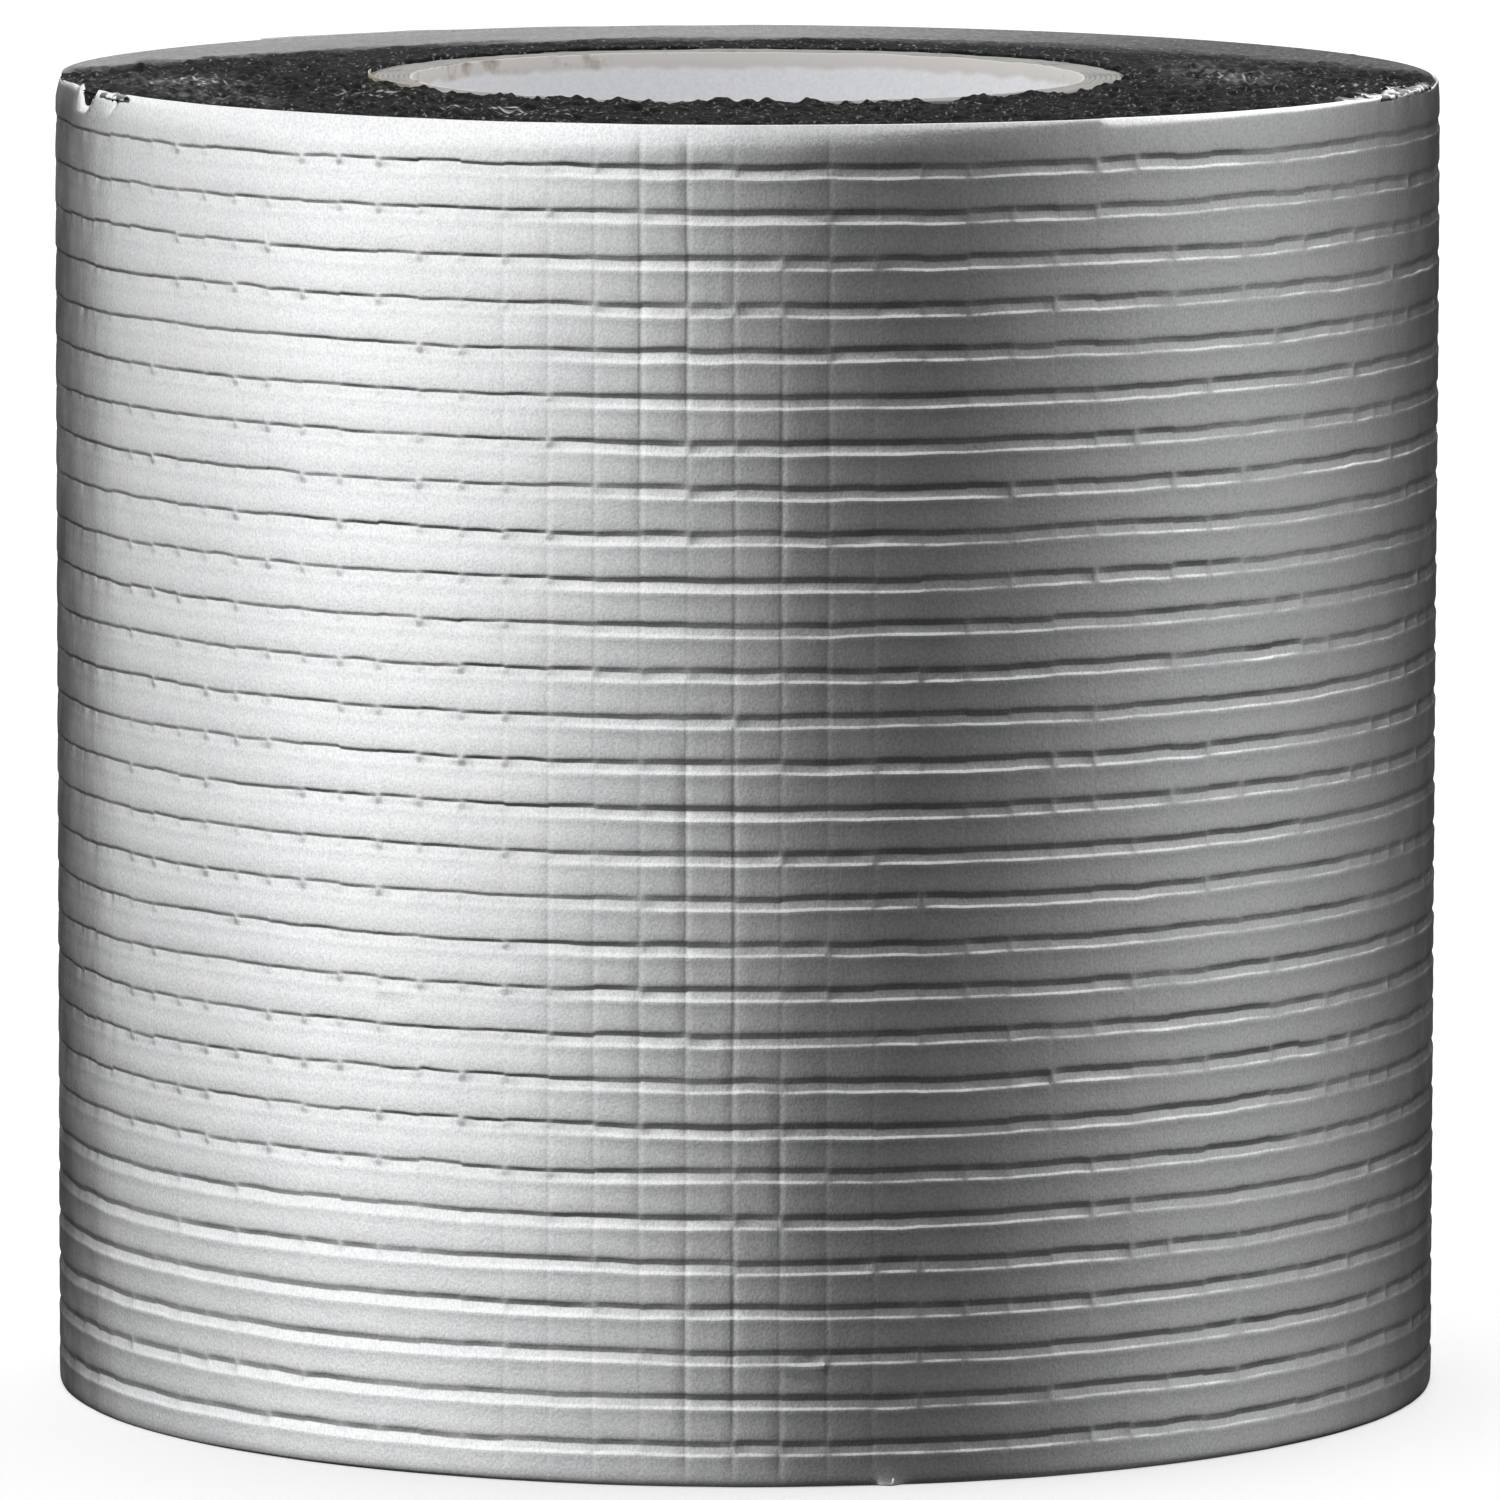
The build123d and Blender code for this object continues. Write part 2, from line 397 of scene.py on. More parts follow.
    # the two edges
    far_off = 99
    top, foot = np.where(rim > 0, rim, far_off), np.where(rim < 0, -rim, far_off)
    wave = noise(column / 9, k * 0 + 0.5, 11)
    curl = 1 - 0.75 * np.clip((column - CURL_START) / (CURL_END - CURL_START), 0, 1)
    offset = offset - np.exp(-top / 0.4) * (0.26 + 0.10 * wave) * (0.3 + 0.7 * curl)
    offset = offset - (0.16 * np.clip(2.7 - top, 0, None) + 0.12 * np.exp(-top / 1.5)) * curl
    offset = offset - np.exp(-foot / 0.3) * (0.18 + 0.06 * wave)
    lip_width = LIP_WIDTH * np.clip((LIP_END - column) / (LIP_END - LIP_START), 0, 1) ** 0.6
    lip_width = np.where(column > LIP_START, lip_width * (1 + 0.25 * wave), 0)
    offset = offset - LIP_SLOPE * np.clip(lip_width - top, 0, None)
    crushed = rim_damage(column)
    crumple = noise(column / 2.1, height / 1.6, 13) + 0.6 * noise(column / 0.9, height / 0.9, 18)
    offset = offset + np.exp(-top / 1.4) * crumple * (0.02 + 0.35 * crushed)
    change_at_top = 0.5 * np.clip((np.abs(column) - 104) / 12, 0, 1)
    height = height - np.exp(-top / 0.5) * (0.06 + change_at_top + 0.03 * noise(column / 5.3, k * 0 + 1.5, 14))
    height = height - np.exp(-top / 1.2) * crushed * (0.7 + 0.5 * noise(column / 1.7, k * 0 + 4.5, 19))
    for place, width, depth, lean in NOTCHES:
        torn = np.clip((width - np.abs(column - place + lean * top)) / 1.1, 0, 1) ** 0.7
        height = height - depth * torn * np.clip(1 - top / 3.2, 0, 1)
    height = height + FLAP[2] * bump(column, FLAP[0], FLAP[1]) * np.exp(-top / 0.9)
    height = height + np.exp(-foot / 0.5) * (0.05 + 0.04 * noise(column / 4.7, k * 0 + 2.5, 15))
    burr = np.exp(-((column - BURR) / 0.7) ** 2) * np.exp(-foot / 0.5)
    return height, offset + BURR_OUT * burr


def rim_damage(column):
    """How crushed the top edge is, from 0 to 1."""
    return sum(amount * bump(column, place, width) for place, width, amount in RIM_DAMAGE)


def stand_off(points, outward, offset, height):
    """Points at an offset outwards from a path's points, or from 0.0 for the roll's axis, and at a
    height. Offset and height are (columns, rows)."""
    flat = np.broadcast_to(points, outward.shape)[:, None, :] + offset[..., None] * outward[:, None, :]
    return np.concatenate([flat, height[..., None]], -1)


def foil_section(points, outward, height, offset, inner=None):
    """Loop of a layer at each column: up the outside from row to row, then down the inside. The
    inside follows the outside one FOIL in, or lies flat at the offset inner, which saves rows
    where nothing can see it."""
    outside = stand_off(points, outward, offset, height)[:, ::-1]
    if inner is None:
        return np.concatenate([outside, stand_off(points, outward, offset - FOIL, height)], 1)
    low, high = height[:, -1:], height[:, :1]
    steps = np.array([0, 0.02, 0.5, 0.98, 1])[None, :]
    flat = np.full((len(points), steps.size), inner)
    flat[:, 0], flat[:, -1] = offset[:, 0] - FOIL, offset[:, -1] - FOIL
    return np.concatenate([outside, stand_off(points, outward, flat, high + (low - high) * steps)], 1)


def foil_piece(name, arcs, start, end, whole_start, body=None, inner=None):
    """A stretch of foil from start to end along a chain of arcs. whole_start is the distance
    along the whole outer face at which the chain begins, so that the grid runs on."""
    distance = foil_columns(whole_start + start, whole_start + end)
    points, outward = along(arcs, distance - whole_start)
    height, offset = foil_relief(distance)
    section = foil_section(points, outward, height, offset, inner)
    return swept(name, section, foil_material, body, flip=True)


# ---------------- materials

def linear(code):
    """A colour given as sRGB hex, turned to linear light."""
    values = [int(code[i:i + 2], 16) / 255 for i in (1, 3, 5)]
    return [v / 12.92 if v <= 0.04045 else ((v + 0.055) / 1.055) ** 2.4 for v in values] + [1.0]


def node(tree, kind, links=None, **settings):
    """Adds a node. Settings are its own properties or, for a socket's name, the socket's value;
    links gives, for each input, the (node, output) that feeds it, or its value."""
    made = tree.nodes.new(kind)
    for key, value in settings.items():
        name = key.replace("_", " ")
        if name in made.inputs:
            made.inputs[name].default_value = value
        else:
            setattr(made, key, value)
    for key, source in (links or {}).items():
        if isinstance(source, tuple):
            tree.links.new(source[0].outputs[source[1]], made.inputs[key])
        else:
            made.inputs[key].default_value = source
    return made


def ramp(made, *stops):
    """Sets a colour ramp's stops, each a position and a colour."""
    elements = made.color_ramp.elements
    while len(elements) < len(stops):
        elements.new(0.5)
    for element, (position, colour) in zip(elements, stops):
        element.position = position
        element.color = colour if not isinstance(colour, (int, float)) else [colour] * 3 + [1]
    return made


def new_material(name):
    """An empty material, its tree, and the link that gives a texture Object coordinates."""
    material = bpy.data.materials.new(name)
    material.use_nodes = True
    tree = material.node_tree
    tree.nodes.clear()
    return material, tree, {"Vector": (node(tree, "ShaderNodeTexCoord"), "Object")}


def embossed_foil(name):
    """Satin aluminium foil, rolled and then embossed: a bright metal with a fine upright grain
    that spreads its reflections, pits too small to see apart that speckle it, and slightly duller
    patches where it has been handled. Grain and pits are drawn coarser than they are, to show."""
    material, tree, at = new_material(name)
    upright = node(tree, "ShaderNodeMapping", at, Scale=(1.0, 1.0, 0.8))
    grain = node(tree, "ShaderNodeTexNoise", {"Vector": (upright, "Vector")},
                 Scale=1 / (0.36 * MM), Detail=3.0, Roughness=0.7)
    handling = node(tree, "ShaderNodeTexNoise", at, Scale=1 / (9 * MM), Detail=5.0, Roughness=0.65)
    pits = node(tree, "ShaderNodeTexNoise", {"Vector": (upright, "Vector")},
                Scale=1 / (0.3 * MM), Detail=2.0, Roughness=0.8)
    patches = node(tree, "ShaderNodeMath", {0: (handling, "Fac"), 1: 0.25}, operation="MULTIPLY")
    cloudy = node(tree, "ShaderNodeMath", {0: (pits, "Fac"), 1: (patches, "Value")}, operation="ADD")
    colour = node(tree, "ShaderNodeValToRGB", {"Fac": (cloudy, "Value")})
    ramp(colour, (0.42, linear("#dcdde0")), (0.62, linear("#eeeff0")), (0.78, linear("#fafafa")))
    dullness = node(tree, "ShaderNodeMapRange", {"Value": (handling, "Fac")},
                    From_Min=0.3, From_Max=0.75, To_Min=0.20, To_Max=0.29)
    relief = node(tree, "ShaderNodeBump", {"Height": (grain, "Fac")}, Strength=0.8, Distance=0.024 * MM)
    shader = node(
        tree, "ShaderNodeBsdfPrincipled",
        {"Base Color": (colour, "Color"), "Roughness": (dullness, "Result"), "Normal": (relief, "Normal")},
        Metallic=1.0,
    )
    node(tree, "ShaderNodeOutputMaterial", {0: (shader, 0)})
    return material


def smudge(material):
    """Adds smears of black compound, a millimetre or two across, to a foil material. They are
    not metal, so they break its reflections up into glints."""
    tree = material.node_tree
    shader = next(n for n in tree.nodes if n.type == "BSDF_PRINCIPLED")
    where = next(n for n in tree.nodes if n.type == "TEX_COORD")
    smears = node(tree, "ShaderNodeTexNoise", {"Vector": (where, "Object")},
                  Scale=1 / (1.6 * MM), Detail=4.0)
    covered = node(tree, "ShaderNodeMapRange", {"Value": (smears, "Fac")}, From_Min=0.44, From_Max=0.48)
    tinted = node(tree, "ShaderNodeMix", {0: (covered, "Result"), 7: linear("#1a1a1b")}, data_type="RGBA")
    tree.links.new(shader.inputs["Base Color"].links[0].from_socket, tinted.inputs[6])
    metal = node(tree, "ShaderNodeMapRange", {"Value": (covered, "Result")}, To_Min=1.0, To_Max=0.0)
    tree.links.new(tinted.outputs[2], shader.inputs["Base Color"])
    tree.links.new(metal.outputs[0], shader.inputs["Metallic"])
    return material


def cut_butyl():
    """Butyl compound where the knife has cut it: black and tacky. Torn parts are matt and lumpy,
    smeared parts are smoother and glossier, and a mid grey is mixed into their colour as a painted
    sheen of light caught at a low angle. Broken lengths of foil edge glint. Lumps and dust are
    stretched along the cut, and drawn coarser than they are, to show."""
    material, tree, at = new_material("knife_cut_black_butyl_compound")
    smeared_with_painted_sheen = node(tree, "ShaderNodeAttribute", attribute_name="smeared_with_painted_sheen")
    edge = node(tree, "ShaderNodeAttribute", attribute_name="edge")
    dragged = node(tree, "ShaderNodeMapping", at, Scale=(1.0, 0.35, 0.8))
    lumps = node(tree, "ShaderNodeTexNoise", {"Vector": (dragged, "Vector")},
                 Scale=1 / (0.9 * MM), Detail=5.0, Roughness=0.65)
    dust = node(tree, "ShaderNodeTexNoise", {"Vector": (dragged, "Vector")},
                Scale=1 / (0.5 * MM), Detail=3.0)
    torn = node(tree, "ShaderNodeValToRGB", {"Fac": (dust, "Fac")})
    ramp(torn, (0.46, linear("#030304")), (0.6, linear("#101011")), (0.74, linear("#868687")))
    # Painted sheen: a mid grey mixed into the colour where the compound is smeared, in place of light caught at a
    # low angle.
    painted_sheen = node(tree, "ShaderNodeValToRGB", {"Fac": (dust, "Fac")})
    ramp(painted_sheen, (0.35, linear("#454547")), (0.65, linear("#747477")))
    colour = node(tree, "ShaderNodeMix", {0: (smeared_with_painted_sheen, "Fac"), 6: (torn, "Color"), 7: (painted_sheen, "Color")},
                  data_type="RGBA")
    with_edge = node(tree, "ShaderNodeMix", {0: (edge, "Fac"), 6: (colour, 2), 7: linear("#e2e3e5")},
                     data_type="RGBA")
    gloss = node(tree, "ShaderNodeMapRange", {"Value": (smeared_with_painted_sheen, "Fac")}, To_Min=0.95, To_Max=0.23)
    relief = node(tree, "ShaderNodeBump", {"Height": (lumps, "Fac")}, Strength=0.8, Distance=0.3 * MM)
    shader = node(
        tree, "ShaderNodeBsdfPrincipled",
        {"Base Color": (with_edge, 2), "Roughness": (gloss, "Result"), "Normal": (relief, "Normal"),
         "Metallic": (edge, "Fac")},
        IOR=1.5, Specular_IOR_Level=0.28,
    )
    node(tree, "ShaderNodeOutputMaterial", {0: (shader, 0)})
    return material


def paper(name, light, dark, fibre, bump_depth):
    """Paper or board: a mat of fibres, longer one way than the other, in two close tones. It is
    rough enough to show no highlight, only its fibres."""
    material, tree, at = new_material(name)
    stretch = node(tree, "ShaderNodeMapping", at, Scale=(1.0, 1.0, 2.2))
    fibres = node(tree, "ShaderNodeTexNoise", {"Vector": (stretch, "Vector")},
                  Scale=1 / (fibre * MM), Detail=6.0, Roughness=0.7)
    clouds = node(tree, "ShaderNodeTexNoise", at,
                  Scale=1 / (7 * MM), Detail=3.0)
    both = node(tree, "ShaderNodeMath", {0: (fibres, "Fac"), 1: (clouds, "Fac")}, operation="ADD")
    colour = node(tree, "ShaderNodeValToRGB", {"Fac": (both, "Value")})
    ramp(colour, (0.75, linear(dark)), (1.0, linear(light)))
    relief = node(tree, "ShaderNodeBump", {"Height": (fibres, "Fac")},
                  Strength=0.6, Distance=bump_depth * MM)
    shader = node(
        tree, "ShaderNodeBsdfPrincipled",
        {"Base Color": (colour, "Color"), "Normal": (relief, "Normal")},
        Roughness=0.85, IOR=1.45,
    )
    node(tree, "ShaderNodeOutputMaterial", {0: (shader, 0)})
    return material


def lining_browner_at_top():
    """Off-white lining paper, uncoated: pale and mat, with its colour turning a greyish brown in a
    band along the top end, and a few darker brown stains there on the left."""
    material, tree, at = new_material("off_white_lining_paper_browner_at_top")
    fibres = node(tree, "ShaderNodeTexNoise", at, Scale=1 / (0.5 * MM), Detail=6.0, Roughness=0.7)
    ragged = node(tree, "ShaderNodeTexNoise", at, Scale=1 / (4 * MM), Detail=4.0)
    colour = node(tree, "ShaderNodeValToRGB", {"Fac": (fibres, "Fac")})
    ramp(colour, (0.35, linear("#eff0f3")), (0.65, linear("#fdfdff")))
    parts = node(tree, "ShaderNodeSeparateXYZ", {0: at["Vector"]})
    wobble = node(tree, "ShaderNodeMath", {0: (ragged, "Fac"), 1: 1.6 * MM}, operation="MULTIPLY")
    level = node(tree, "ShaderNodeMath", {0: (parts, "Z"), 1: (wobble, "Value")}, operation="ADD")
    # The colour turns greyish brown in a band along the top end.
    change_at_top = node(tree, "ShaderNodeMapRange", {"Value": (level, "Value")}, interpolation_type="SMOOTHSTEP",
                From_Min=(CORE_TOP - 1.3) * MM, From_Max=(CORE_TOP - 0.5) * MM)
    stains = node(tree, "ShaderNodeTexNoise", at, Scale=1 / (3.2 * MM), Detail=5.0, Roughness=0.6)
    towards_left = node(tree, "ShaderNodeMapRange", {"Value": (parts, "X")},
                        From_Min=-30 * MM, From_Max=-6 * MM, To_Min=0.05, To_Max=-0.14)
    stained = node(tree, "ShaderNodeMath", {0: (stains, "Fac"), 1: (towards_left, "Result")},
                   operation="ADD")
    brown = node(tree, "ShaderNodeValToRGB", {"Fac": (stained, "Value")})
    ramp(brown, (0.54, linear("#dcd8d4")), (0.74, linear("#9d8e81")))
    mixed = node(tree, "ShaderNodeMix", {0: (change_at_top, "Result"), 6: (colour, "Color"), 7: (brown, "Color")},
                 data_type="RGBA")
    relief = node(tree, "ShaderNodeBump", {"Height": (fibres, "Fac")}, Strength=0.6, Distance=0.04 * MM)
    shader = node(tree, "ShaderNodeBsdfPrincipled", {"Base Color": (mixed, 2), "Normal": (relief, "Normal")},
                  Roughness=0.85, IOR=1.45)
    node(tree, "ShaderNodeOutputMaterial", {0: (shader, 0)})
    return material


def film(name, light, dark, roughness):
    """Polymer film or adhesive: smooth, with a soft highlight that a faint unevenness bends."""
    material, tree, at = new_material(name)
    cloud = node(tree, "ShaderNodeTexNoise", at, Scale=1 / (3 * MM), Detail=4.0)
    colour = node(tree, "ShaderNodeValToRGB", {"Fac": (cloud, "Fac")})
    ramp(colour, (0.35, linear(dark)), (0.65, linear(light)))
    relief = node(tree, "ShaderNodeBump", {"Height": (cloud, "Fac")}, Strength=0.3, Distance=0.05 * MM)
    shader = node(
        tree, "ShaderNodeBsdfPrincipled",
        {"Base Color": (colour, "Color"), "Normal": (relief, "Normal")},
        Roughness=roughness, IOR=1.5,
    )
    node(tree, "ShaderNodeOutputMaterial", {0: (shader, 0)})
    return material


foil_material = embossed_foil("satin_embossed_aluminium_foil")
smudged_material = smudge(embossed_foil("aluminium_foil_smudged_with_compound"))
butyl_material = cut_butyl()
lining_material = lining_browner_at_top()
board_material = paper("raw_grey_paperboard", "#a9a8a5", "#868480", 0.4, 0.08)
cover_material = paper("smooth_kraft_cover_paper", "#8f8b83", "#6f6b64", 0.5, 0.03)
liner_material = film("siliconised_release_film", "#e4e6e8", "#d6d9dc", 0.32)
starter_material = film("transfer_adhesive", "#d8d2bd", "#c4bda4", 0.5)


# ---------------- the foil of the wound strip

# Where the wound foil is split into pieces: each piece's name and the polar angle of its end.
SPLITS = {"foil_under_loose_end": 178.0, "foil_front_left": 268.0, "foil_front_right": 358.0}


def wound_distance(angle):
    """Distance along the outer face at a polar angle on the outer turn."""
    return WOUND_LENGTH - OUTER_RADIUS * math.radians(ROOT_ANGLE + 360 - angle)


HIDDEN_WALL = -0.9          # where the inside of the wound foil is drawn, out of sight
ROOT_LAP = 4.0              # length of the wound strip that bends with the loose end's root
start = 0.0
ends = {name: wound_distance(angle) for name, angle in SPLITS.items()}
ends["foil_back"] = WOUND_LENGTH - ROOT_LAP
for name, end in ends.items():
    foil_piece(name, WOUND, start, end, 0.0, "roll", HIDDEN_WALL)
    start = end
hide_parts("wound_foil")


FOLD_THICKNESS = 0.12


def folded_edge(name, first, last, columns, width, rise, crush, seed):
    """Foil of the top edge that is folded in over the end face: a sheet from just outside the edge,
    over a small round, and in by width. It rises and crumples by noise, and narrows to both ends."""
    angle = np.linspace(first, last, columns)
    along_edge = np.radians(angle) * OUTER_RADIUS
    ends = np.clip(np.minimum(angle - first, last - angle) / (0.35 * (last - first)), 0, 1)
    uneven = 0.75 + 0.35 * noise(along_edge / 3.1, angle * 0 + seed, 70)
    reach = width * ends * uneven
    share = np.array([0, 0.35, 0.7, 1.0, 1.3, 1.6, 2.0, 2.5, 3.0])
    round_in = np.clip(share, 0, 1)
    inward = np.clip(share - 1, 0, 2) / 2
    r = OUTER_RADIUS - 0.02 - 0.5 * (1 - np.cos(round_in * np.pi / 2))[None, :]
    r = r - reach[:, None] * inward[None, :]
    z = HEIGHT - 0.62 + (0.55 + rise) * np.sin(round_in * np.pi / 2)[None, :] + 0 * r
    crumple = noise(along_edge[:, None] / 1.6, r / 1.1, 71)
    crumple = crumple + 0.5 * noise(along_edge[:, None] / 0.7, r / 0.6, 72)
    z = z + crush * crumple * (0.25 + inward)[None, :]
    points = stand_off(0.0, directions(angle), r, z)
    under = points[:, ::-1].copy()
    under[..., 2] -= FOLD_THICKNESS
    loop = np.concatenate([points, under], 1)
    return swept(name, loop, smudged_material, "roll", flip=True)


# name, first and last polar angle, columns, width, rise, crush, seed
lips = [
    folded_edge("folded_edge_right_1", 327.6, 334.5, 90, 4.0, -0.1, 0.22, 1.5),
    folded_edge("folded_edge_right_2", 332.5, 340.0, 90, 6.0, 0.0, 0.34, 6.5),
    folded_edge("folded_edge_right_3", 338.2, 349.0, 120, 4.0, -0.05, 0.3, 8.5),
    folded_edge("folded_flap_left", 203.0, 208.0, 70, 1.2, -0.1, 0.15, 3.5),
]


def compound_behind_notch():
    """Compound that shows where the foil's top edge is torn: a thin curved slab whose outer face
    is lumpy by noise, just inside the foil."""
    angle = np.linspace(193.0, 212.0, 90)
    rows = np.linspace(HEIGHT - 6, HEIGHT - 0.75, 20)
    around = np.radians(angle)[:, None] * OUTER_RADIUS
    lumpy = 0.16 * noise(around / 0.9, rows[None, :] / 0.7, 80)
    lumpy = lumpy + 0.1 * noise(around / 2.3, rows[None, :] / 2, 81)
    outward = directions(angle)
    outside = stand_off(0.0, outward, OUTER_RADIUS - 0.55 + lumpy, rows + 0 * lumpy)
    inside = stand_off(0.0, outward, OUTER_RADIUS - 1.3 + 0 * lumpy, rows[::-1] + 0 * lumpy)
    return swept("compound_behind_notch", np.concatenate([outside, inside], 1), butyl_material, "roll")


compound_behind_notch()


# ---------------- end faces

def outer_edge(angle):
    """Radius of the outer face at polar angles from the root to once round, for the end faces."""
    fine = np.linspace(0, WOUND_LENGTH, 4000)
    points, _ = along(WOUND, fine)
    around = np.degrees(np.unwrap(np.arctan2(points[:, 1], points[:, 0])))
    return np.interp((angle - around[0]) % 360 + around[0], around, np.hypot(points[:, 0], points[:, 1]))


# Paler stretches of the top face, glossier and with a lighter grey painted into their colour as a painted sheen:
# polar angle, radius, and their half widths.
PALE = ((192, 66, 15, 12), (5, 55, 22, 11), (350, 56, 14, 9), (212, 70, 14, 7))
# Where crumbs of foil are pressed into the top face: polar angle, radius, and their half widths.
CRUMBS = ((192, 64, 14, 11), (245, 62, 17, 8), (357, 55, 12, 9), (345, 70, 14, 9), (215, 52, 14, 6))


def end_face(name, top, first, last, columns, per_turn=5):
    """Face of the wound compound: a grid from the core to the foil. Its height is the sum of a
    ridge for each turn, lumps stretched along the cut, and fine tearing, less where the compound
    is smeared smooth, on the far half from a wavy boundary outwards. A few lumps lean over the
    core's edge. Two attributes go to the material. The first, which PALE adds to, marks where the
    compound is smeared smooth and glossy, and also where a lighter grey is mixed into its colour as
    a painted sheen. The second, edge, marks broken lengths of each turn's foil edge, more of them
    where CRUMBS says."""
    angle = np.linspace(first, last, columns)
    rows = TURNS * per_turn
    share = np.linspace(0, 1, rows)
    outer = outer_edge(angle) - FOIL - 0.5
    seed = 30 if top else 40
    lean = np.clip(noise(angle / 4.0, angle * 0 + seed + 0.5, 21) - 0.1, 0, 1)
    inner = CORE_RADIUS + 0.1 - lean
    radius = inner[:, None] + (outer - inner)[:, None] * share[None, :]
    climb = np.clip((angle % 360 - STEP_START) / STEP_ANGLE, 0, 1)
    climb = np.where(climb >= 1, 0, climb * climb * (3 - 2 * climb))
    turn = ((radius - CORE_RADIUS) / STRIP - climb[:, None]) % 1
    ridge = 0.12 * np.sin(np.pi * turn) ** 0.7
    around = np.radians(angle)[:, None] * radius
    cosine, behind = directions(angle).T[..., None]
    boundary = 55 + 21 * np.clip(1 - behind, 0, 1) ** 2.2 + 2.5 * noise(around / 9, radius / 4, seed + 4)
    towards_right = np.clip(cosine * 1.3, 0, 1)
    # Where the compound is smeared it is smoother and glossier, and a lighter grey is painted into its colour as a
    # painted sheen.
    smeared_with_painted_sheen = np.clip((radius - boundary + 3) / 9, 0, 1) ** 1.5 * (1 - 0.5 * towards_right)
    smeared_with_painted_sheen = smeared_with_painted_sheen * (behind > 0) if top else radius * 0 + 0.3
    x, y = radius * cosine, radius * behind
    away = 90                   # so that the table of noise starts beyond the roll
    lumps = 0.34 * noise(x / 2.4 + away, y / 3.4 + away, seed)
    lumps = lumps + 0.36 * noise(x / 1.1 + away, y / 2.2 + away, seed + 1)
    tearing = 0.18 * noise(x / 0.6 + away, y / 1.2 + away, seed + 2)
    broad = 0.12 * noise(around / 19, radius / 9, seed + 3)
    rough = 1 - 0.6 * np.clip(2 * behind, 0, 1) if top else 1.0
    proud = (ridge + (lumps + tearing) * rough) * (1 - 0.75 * smeared_with_painted_sheen) + broad - 0.3
    from_foil = np.clip((outer[:, None] - radius) / 1.5, 0, 1)
    proud = proud * from_foil - 0.55 * (1 - from_foil) * (1 - 0.8 * smeared_with_painted_sheen)
    proud[:, 0] -= 0.8          # the rim at the core turns down
    proud[:, 1] -= 0.15
    height = HEIGHT + proud if top else np.maximum(-proud * 0.8, 0.02)
    points = np.stack([x, y, height], -1)
    faces = grid_faces(columns, rows)
    if top:
        faces = [f[::-1] for f in faces]
    piece = make_mesh(name, points.reshape(-1, 3), faces, butyl_material, "roll")
    broken = 0.6 * noise(around / 0.8, radius / 1.6, seed + 5)
    broken = broken + 0.5 * noise(around / 0.45, radius / 1.1, seed + 6)
    crumbs = radius * 0 - 0.45
    for place, out, wide, deep in CRUMBS if top else ():
        crumbs = crumbs + 0.95 * bump(angle[:, None], place, wide) * bump(radius, out, deep)
    edge = bump(turn, 0.9, 0.3) * np.clip((broken + crumbs - 0.4) * 4, 0, 1)
    # Patches where PALE paints a lighter grey into the colour as a painted sheen, and makes the compound glossier.
    painted_sheen = np.clip(0.5 + noise(x / 0.8 + away, y / 1.6 + away, seed + 7), 0, 1)
    for place, out, wide, deep in PALE if top else ():
        smeared_with_painted_sheen = smeared_with_painted_sheen + 0.7 * painted_sheen * bump(angle[:, None], place, wide) * bump(radius, out, deep)
    for key, values in (("smeared_with_painted_sheen", smeared_with_painted_sheen), ("edge", edge)):
        attribute = piece.data.attributes.new(key, "FLOAT", "POINT")
        attribute.data.foreach_set("value", np.broadcast_to(values, x.shape).astype(np.float32).ravel())
    return piece


end_faces = [
    end_face("butyl_top_face_near", True, 180.0, 360.0, 740),
    end_face("butyl_top_face_far", True, 0.0, 180.0, 480),
    end_face("butyl_base_face", False, 0.0, 360.0, 480, per_turn=4),
]
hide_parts("wound_butyl", "wound_scrim_film", "wound_release_liner")


# ---------------- core

def ply(name, inner, thickness, material, seed):
    """One ply of the core: a tube whose cut ends are a little uneven and whose corners are
    rounded by a tenth of a millimetre."""
    columns = 240
    angle = np.linspace(0, 2 * np.pi, columns, endpoint=False)
    uneven = 0.07 * noise(angle * 9, angle * 0 + seed, 50)
    uneven = uneven + 0.05 * noise(angle * 40, angle * 0 + seed, 51)
    round_off = 0.1
    outer = inner + thickness
    # the loop round the tube's wall: radius, height, and how far the uneven cut moves it
    loop = [
        (outer, CORE_BOTTOM, 1), (outer, CORE_BOTTOM + 2, 0), (outer, CORE_TOP - 2, 0),
        (outer, CORE_TOP - round_off, 1), (outer - round_off, CORE_TOP, 1),
        (inner + round_off, CORE_TOP, 1), (inner, CORE_TOP - round_off, 1),
        (inner, CORE_TOP - 2, 0), (inner, CORE_BOTTOM + 2, 0), (inner, CORE_BOTTOM, 1),
    ]
    radius, level, moved = np.array(loop).T[:, None, :]
    height = level + uneven[:, None] * moved
    x, y = radius * np.cos(angle)[:, None], radius * np.sin(angle)[:, None]
    points = np.stack([x, y, np.broadcast_to(height, x.shape)], -1)
    faces = grid_faces(columns, len(loop), close_rows=True, close_columns=True)
    return make_mesh(name, points.reshape(-1, 3), faces, material, "roll")


radius = BORE
for number, (cad_name, thickness) in enumerate(zip(PLIES, PLY_THICKNESS)):
    material = {"core_lining": lining_material, "core_cover": cover_material}.get(cad_name, board_material)
    piece = ply(cad_name.replace("core_", "cut_"), radius, thickness, material, number * 3.3)
    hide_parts(cad_name)
    radius += thickness

starter = frame["nodes"]["starter_strip"]
starter.data.materials.clear()
starter.data.materials.append(starter_material)


# ---------------- loose end

